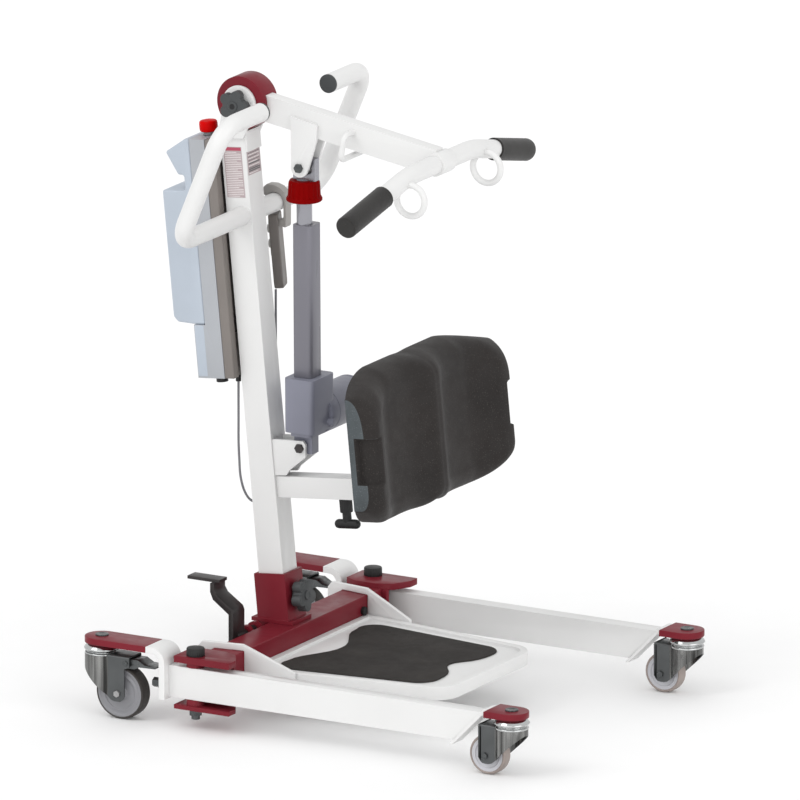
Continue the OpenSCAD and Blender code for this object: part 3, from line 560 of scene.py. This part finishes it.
def add_wheels():
    """Turned hubs and tyres, rear and front."""
    rear_hub = mirrored([(5.1, 15.5), (9, 15.8), (12.5, 15.2), (13.5, 12.4), (16, 11.6), (28, 11.2),
                         (31, 11.6), (32.5, 13.6), (34.5, 13.2), (37, 12.2), (40.5, 12.4), (42, 14),
                         (46.3, 14.2), (47, 11)])
    rear_tread = mirrored([(44, 13.0), (46.8, 15.2), (48.2, 14.6), (49.4, 12.4), (50, 8), (50, 0.01)])
    front_hub = mirrored([(5.1, 12.6), (8, 12.8), (10.5, 12), (11.5, 9.6), (14, 8.8), (22, 8.8), (24.5, 9.4),
                          (26, 11.4), (28.6, 10.8), (30, 11.6), (32.4, 11.2), (33, 9)])
    front_tread = mirrored([(31.6, 10.8), (33.6, 12.4), (35.6, 11.8), (36.9, 9.6), (37.5, 6), (37.5, 0.01)])
    for side in ("right", "left"):
        for end, hub, tread in (("rear", rear_hub, rear_tread), ("front", front_hub, front_tread)):
            place = caster_matrix(end, side)
            rear = end == "rear"
            body = f"rear_{side}_wheel" if rear else f"front_{side}_roller"
            at = (TRAIL / MM, 0, CASTERS[end][0])
            lathe(f"{end}_{side}_wheel_centre", rounded(hub + [hub[0]], 1.0),
                  HUB if rear else LIGHT_HUB, body, "Y", at, place,
                  [f"rear_{side}_hub"] if rear else [f"front_{side}_wheel"], sides=72)
            lathe(f"{end}_{side}_tread", rounded(tread + [tread[0]], 0.8),
                  TREAD if rear else LIGHT_TREAD, body, "Y", at, place,
                  [f"rear_{side}_tyre"] if rear else (), sides=72)


def add_swivels():
    """The bright swivel dish under each plate, and the stem's head above it."""
    for side in ("right", "left"):
        for end in ("rear", "front"):
            place = caster_matrix(end, side)
            plate_z = CASTERS[end][1]
            top = plate_z - 0.4
            dish = [(20, top), (26, top - 0.6), (28.5, top - 3), (30.5, top - 5), (33, top - 8.2),
                    (33.6, top - 10), (32.6, top - 11.6), (29, top - 12.4), (27.5, top - 15.2),
                    (31.4, top - 17.4), (31.9, top - 19.4), (30.8, top - 20.8), (20, top - 21)]
            lathe(f"{end}_{side}_swivel_dish", rounded(dish, 0.8), CHROME, f"{end}_{side}_swivel",
                  "Z", (0, 0, 0), place)
            head_z = plate_z + PLATE_T
            head = [(12.4, head_z - 0.5), (12.4, head_z + 2.2), (11.4, head_z + 3.1), (6, head_z + 3.4),
                    (5.4, head_z + 3.1), (0.005, head_z + 3)]
            lathe(f"{end}_{side}_stem_head", head, ZINC, f"leg_{side}", "Z", (0, 0, 0), place)


def track(pairs, x):
    """The height at x along a broken line of (x, height) pairs."""
    for (x0, h0), (x1, h1) in zip(pairs, pairs[1:]):
        if x <= x1:
            return h0 + (h1 - h0) * max(x - x0, 0) / max(x1 - x0, 1e-6)
    return pairs[-1][1]


def fork_plan(half_w, nose, round_r):
    """Where a leg meets the skirt in x, and the fork from above: one leg, the skirt, the other leg."""
    meet = math.sqrt(round_r ** 2 - half_w ** 2)
    xs = [nose, nose - 5, 59.6, 59.5, 57.5, 54, 51, 45, 38, 34, 31, 27, meet + 3, meet + 1]
    flat = [(x, half_w) for x in xs if meet < x <= nose]
    first = math.atan2(half_w, meet)
    steps = 40
    arc = [(round_r * math.cos(a), round_r * math.sin(a))
           for a in (first + (TAU - 2 * first) * k / steps for k in range(steps + 1))]
    return meet, flat + arc + [(x, -y) for x, y in reversed(flat)]


def add_fork_shell(end, side, low):
    """A pressed fork: a round skirt under the swivel that runs on into two flat legs.

    low is the lower edge as (x, height) pairs, in the caster's own frame. The section at each point of the
    plan goes up the outside, over the shoulder to the top, and down the inside."""
    plate_z, half_w, nose, round_r = CASTERS[end][1:]
    top = plate_z - SWIVEL_H
    meet, path = fork_plan(half_w, nose, round_r)
    section = [(0, None), (0, top - 4), (1.2, top - 1.2), (4, top), (4, top - FORK_T), (FORK_T, top - 4),
               (FORK_T, None)]
    outer_top, inner_top = 3, 4
    verts, faces, size, n = [], [], len(section), len(path)
    for k, (x, y) in enumerate(path):
        before, after = Vector(path[max(k - 1, 0)]), Vector(path[min(k + 1, n - 1)])
        along = (after - before).normalized()
        for inward, height in section:
            z = min(track(low, x), top - 5) if height is None else height
            verts.append((x - along.y * inward, y + along.x * inward, z))
    joined = [(r, (r + 1) % size) for r in range(size) if r != outer_top]
    for k in range(n - 1):
        for r, r2 in joined:
            faces.append((k * size + r, (k + 1) * size + r, (k + 1) * size + r2, k * size + r2))
    for r in (outer_top, inner_top):
        faces.append(tuple(k * size + r for k in range(n)))
    last = (n - 1) * size
    faces += [tuple(range(size)), tuple(last + r for r in range(size)),
              (outer_top, last + outer_top, last + inner_top, inner_top)]
    place = caster_matrix(end, side)
    shell = piece(f"{end}_{side}_fork_shell", verts, faces, [FORK_FLAT, ZINC_PAINTED_REFLECTIONS], f"{end}_{side}_swivel",
                  [f"{end}_{side}_fork"], place, smooth=50)
    inverse = place.inverted()
    # The round skirt's upright faces take the zinc with painted reflections.
    for face in shell.data.polygons:
        if (inverse @ face.center).x < meet + 2 and abs(face.normal.z) < 0.3:
            face.material_index = 1


def both_ends(half):
    """A pin's profile from its head's middle to its own middle, and the same again mirrored."""
    return half + [(r, -h) for r, h in reversed(half)]


def add_fork_pins(end, side):
    """The axle with its hexagon heads, and at the rear the brake's pin."""
    wheel_r, half_w = CASTERS[end][0], CASTERS[end][2]
    place, body = caster_matrix(end, side), f"{end}_{side}_swivel"
    axle = both_ends([(0.005, -half_w - 4.4), (5.8, -half_w - 4.4), (6.6, -half_w - 3.6), (6.6, -half_w),
                      (4.9, -half_w)])
    lathe(f"{end}_{side}_axle", axle, AXLE if end == "rear" else ZINC, body, "Y",
          (TRAIL / MM, 0, wheel_r), place, sides=6)
    if end == "rear":
        pin = both_ends([(0.005, -half_w - 2), (5, -half_w - 2), (5, -half_w), (3.9, -half_w)])
        lathe(f"{end}_{side}_brake_pin", pin, ZINC, body, "Y", BRAKE_PIN, place, sides=32)


def add_forks():
    low = {"rear": [(-31, 97), (24, 44), (31, 37.5), (38, 35), (51, 35), (57.5, 40), (59.5, 46), (59.6, 98),
                    (70, 102)],
           "front": [(-30, 80), (22, 32), (31, 24.5), (38, 22.5), (50, 22.5), (55, 27), (57.5, 34), (58, 76)]}
    for side in ("right", "left"):
        for end in ("rear", "front"):
            add_fork_shell(end, side, low[end])
            add_fork_pins(end, side)


add_wheels()
add_forks()
add_swivels()

# ---- Knobs, caps, ring, stop button -------------------------------------------------------------


ESTOP = (-64, 0, 0)
STAR_FACE = -54.3
CLAMP_P, CLAMP_Q = 158, 249.5


def add_pivot_caps():
    """The black ribbed caps over the legs' pivots."""
    cap = [(15.6, 137.9), (17, 138.6), (17.2, 140), (16.9, 151), (15.8, 153.2), (12, 154.1), (0.005, 154.3)]
    for side, y in (("right", -LEG_Y), ("left", LEG_Y)):
        lathe(f"pivot_cap_{side}", cap, BLACK, "root", "Z", (PIVOT_X / MM, y / MM, 0),
              sides=96, ribs=(24, 0.5, 1, 4))


def add_release_collar():
    ring = [(14.7, 464.1), (31.5, 464), (33.2, 465.5), (33.4, 469), (32, 471.5), (30.6, 473.5), (30.2, 477),
            (29.2, 496), (28.4, 500.6), (26.5, 503.3), (14.7, 503.4)]
    lathe("release_collar", ring, RED, "ring", "Z", (0, 0, 0), ACTUATOR, ["release_ring"],
          sides=144, ribs=(18, 1.5, 5, 8))


def add_stop_button():
    """The red mushroom cap and the neck under it."""
    stop = [(0.005, 931.6), (14.6, 931.7), (16.3, 933), (17, 936), (17.1, 945), (16.6, 949.4), (14.8, 951.6),
            (10, 952.7), (0.005, 953)]
    lathe("stop_cap", stop, STOP_RED, "estop", "Z", ESTOP, MAST, ["estop_button"], sides=72)
    neck = [(0.005, 925.4), (10.8, 925.5), (10.8, 931.9), (0.005, 932)]
    lathe("stop_neck", neck, HUB, "estop", "Z", ESTOP, MAST)


def add_knob_bosses():
    """The raised boss on each star knob, and in the upper one a black disc: the screw's end, made wider than
    the boss's hole as painted shade of the hole.
    """
    boss = [(4.6, 0.2), (9.5, 0.2), (9.8, 1.2), (9, 2), (5.2, 2), (4.6, 1.4)]
    # The black disc is partly the screw's end and partly painted shade: it covers the boss's hole, which is
    # dark from shade.
    screw = [(0.005, 1), (5.4, 1), (5.2, 2.3), (0.005, 2.2)]
    hinge = tuple(HINGE / MM)
    outward = Matrix.Translation((0, STAR_FACE * MM, 0)) @ Matrix.Diagonal((MM, -MM, MM, 1))
    lathe("boom_knob_boss", boss, KNOB, "upper_knob", "Y", hinge, outward)
    lathe("boom_knob_screw_painted_hole_shade", screw, BLACK, "upper_knob", "Y", hinge, outward)
    lathe("mast_knob_boss", boss, KNOB, "lower_knob", "X", (58.9, 0, 62), MAST)


def add_motor():
    """The motor's can, with a groove near each end."""
    can = [(0.005, 27.5), (30, 27.5), (41, 28), (42, 30), (42, 52), (41.2, 53), (41.2, 55), (42, 56),
           (42, 150), (41.4, 151), (41.4, 153), (42, 154), (42, 160), (40, 164.5), (34, 166.4), (0.005, 167)]
    lathe("motor_can", can, LAVENDER, "actuator", "Y", (0, 0, 56), ACTUATOR,
          ["actuator_motor"], sides=72)


def add_clamp():
    """The T-handled clamp screw under the knee arm: a ribbed boss, a neck and the bar."""
    at = (CLAMP_P, 0, CLAMP_Q)
    boss = [(0.005, -28.6), (7, -28.6), (11.2, -27.6), (12, -26), (12, -3), (11.2, -1.2), (6, -0.6),
            (0.005, -0.6)]
    lathe("clamp_boss", boss, BLACK, "clamp", "Z", at, MAST, ["clamp_handle"],
          sides=96, ribs=(16, 0.9, 3, 4))
    neck = [(0.005, -50), (7.4, -50), (7.8, -47), (8.3, -42), (8.3, -28), (0.005, -28)]
    lathe("clamp_neck", neck, BLACK, "clamp", "Z", at, MAST)
    bar = [(0.005, -26.5)] + [(8.8 * math.sin(a), -17.7 - 8.8 * math.cos(a))
                              for a in (0.3, 0.6, 0.9, 1.2, math.pi / 2)]
    bar += [(8.8, 17.7)] + [(8.8 * math.cos(a), 17.7 + 8.8 * math.sin(a)) for a in (0.35, 0.7, 1.0, 1.3)]
    bar += [(0.005, 26.5)]
    lathe("clamp_tee", bar, BLACK, "clamp", "X", (CLAMP_P, 0, CLAMP_Q - 50), MAST)


add_pivot_caps()
add_release_collar()
add_stop_button()
add_knob_bosses()
add_motor()
add_clamp()

# ---- Grips --------------------------------------------------------------------------------------

GRIP_SLOPE = math.radians(13.4)


def add_grips():
    """Foam sleeves on the sloping ends of the crossbar, closed and rounded at the tip."""
    bend_y = 94 + 200 * math.sin(GRIP_SLOPE)
    bend_z = -200 * (1 - math.cos(GRIP_SLOPE))
    start = (202 - bend_y) / math.cos(GRIP_SLOPE)
    end = (334 - bend_y) / math.cos(GRIP_SLOPE) - 0.4
    profile = [(17.6, start + 0.2), (20, start), (21, start + 1.2)]
    profile += [(21 - 0.25 * (k % 2), start + 4 + k * 4) for k in range(int((end - start - 12) / 4))]
    profile += [(21, end - 5), (20.2, end - 1.8), (18.4, end - 0.4), (0.005, end)]
    for side, sign in (("right", -1), ("left", 1)):
        place = CROSSBAR @ Matrix.Translation((0, sign * bend_y, bend_z))
        place = place @ Matrix.Rotation(-sign * (math.pi / 2 + GRIP_SLOPE), 4, "X")
        lathe(f"grip_{side}", profile, GRIP, "boom", "Z", (0, 0, 0), place,
              ["grips"] if side == "right" else (), sides=64)


add_grips()

# ---- Hand control --------------------------------------------------------------------------------

def add_pendant():
    """The hand control's rounded body, its panel and its hook over the handle's tube."""
    place = Matrix.Translation((-0.306, 0.100, 0.800)) @ turn_y(-LEAN)
    place = place @ Matrix.Rotation(math.radians(20), 4, "Z") @ Matrix.Scale(MM, 4)
    half_w = 22
    side = [(-half_w + 3, -70), (half_w - 3, -70), (half_w, -60), (half_w, 66), (half_w - 3, 70),
            (-half_w + 3, 70), (-half_w, 66), (-half_w, -60)]
    slab("pendant_shell", side, -7.2, 11, PENDANT, "root", place, ["pendant"], "YZ", 3.0)
    panel = [(-15, -8), (15, -8), (17, -6), (17, 56), (15, 58), (-15, 58), (-17, 56), (-17, -6)]
    slab("pendant_panel", panel, -8.2, -7.0, HOOK, "root", place, (), "YZ", 0.4)
    centre, r = Vector((-305, 892)), 18.6
    inner = [(r * math.cos(a), r * math.sin(a)) for a in [math.radians(150 - 15 * k) for k in range(11)]]
    outer = [(r, -30), (8, -32), (7, -43), (r + 4, -46), (r + 5.5, -42), (r + 5.8, 8), (r + 2.5, 20),
             (10, 28.5), (-2, 32.5), (-17, 32), (-23.5, 26), (-25, 14), (-20, 9.5)]
    hook = [(centre.x + a, centre.y + b) for a, b in inner + outer]
    slab("pendant_hook", hook, 90, 110, HOOK, "root", ROW, (), "XZ", 1.2)


add_pendant()

# ---- Battery's cradle ------------------------------------------------------------------------


def add_cradle_rim():
    """The pale rim under the battery, drawn round the control box's lower rear."""
    outline = [(-106.4, 478), (-84, 478), (-84, 576.4), (-106.4, 576.4)]
    slab("cradle_rim", outline, -45.4, 45.4, BATTERY, "root", MAST, (), "XZ", 3.0)


add_cradle_rim()

# ---- Labels, without any lettering ------------------------------------------------------------


def add_labels():
    """One label on the mast's side and one on its front: pale fields with fine blank bars."""
    def field(name, p0, p1, q0, q1, low, high, mat, plane="XZ"):
        slab(name, [(p0, q0), (p1, q0), (p1, q1), (p0, q1)], low, high, mat, "root", MAST,
             (), plane)

    field("side_label", -21, 17, 814, 909, -26.35, -26.0, LABEL_PRINT)
    field("side_label_head", -20, 16, 902, 908, -26.5, -26.3, LABEL_ROSE)
    for k in range(26):
        q = 816 + 3.3 * k
        field(f"side_label_bar_{k}", -19, 15 if k % 5 else 6, q, q + 0.9, -26.5, -26.3, LABEL)
    field("front_label", -23, 23, 855, 907, 26.0, 26.3, LABEL_PRINT, "YZ")
    for k in range(14):
        q = 857.5 + 3.4 * k
        bold = k in (1, 2, 5)
        field(f"front_label_bar_{k}", -20, 20 if k % 3 else 12, q, q + (2.6 if bold else 1.1), 26.25, 26.45,
              LABEL_DARK if bold or k % 2 else LABEL, "YZ")


add_labels()

# ---- Floor and light ------------------------------------------------------------------------------


def add_studio():
    bpy.ops.mesh.primitive_plane_add(size=160, location=(0, 0, 0))
    floor = bpy.context.object
    floor.name = "floor"
    paint = material("studio_floor", (0.93, 0.93, 0.93), 0.8, spot=0.004, grain=(40, 0.02))
    floor.data.materials.append(paint)
    world = bpy.data.worlds.new("studio")
    world.use_nodes = True
    world.node_tree.nodes["Background"].inputs["Color"].default_value = (1, 1, 1, 1)
    world.node_tree.nodes["Background"].inputs["Strength"].default_value = 0.9
    bpy.context.scene.world = world
    for name, place, spread, power in (
        ("key", (-2.6, -3.6, 4.6), 30, 0.6), ("fill", (4.0, -1.4, 1.6), 45, 0.62),
        ("front", (0.8, -4.6, 0.9), 50, 0.5),
    ):
        data = bpy.data.lights.new(name, "SUN")
        data.angle, data.energy = math.radians(spread), power
        light = bpy.data.objects.new(name, data)
        light.location = place
        light.rotation_euler = (-Vector(place)).to_track_quat("-Z", "Y").to_euler()
        bpy.context.scene.collection.objects.link(light)
    bpy.context.scene.view_settings.view_transform = "Standard"


add_studio()
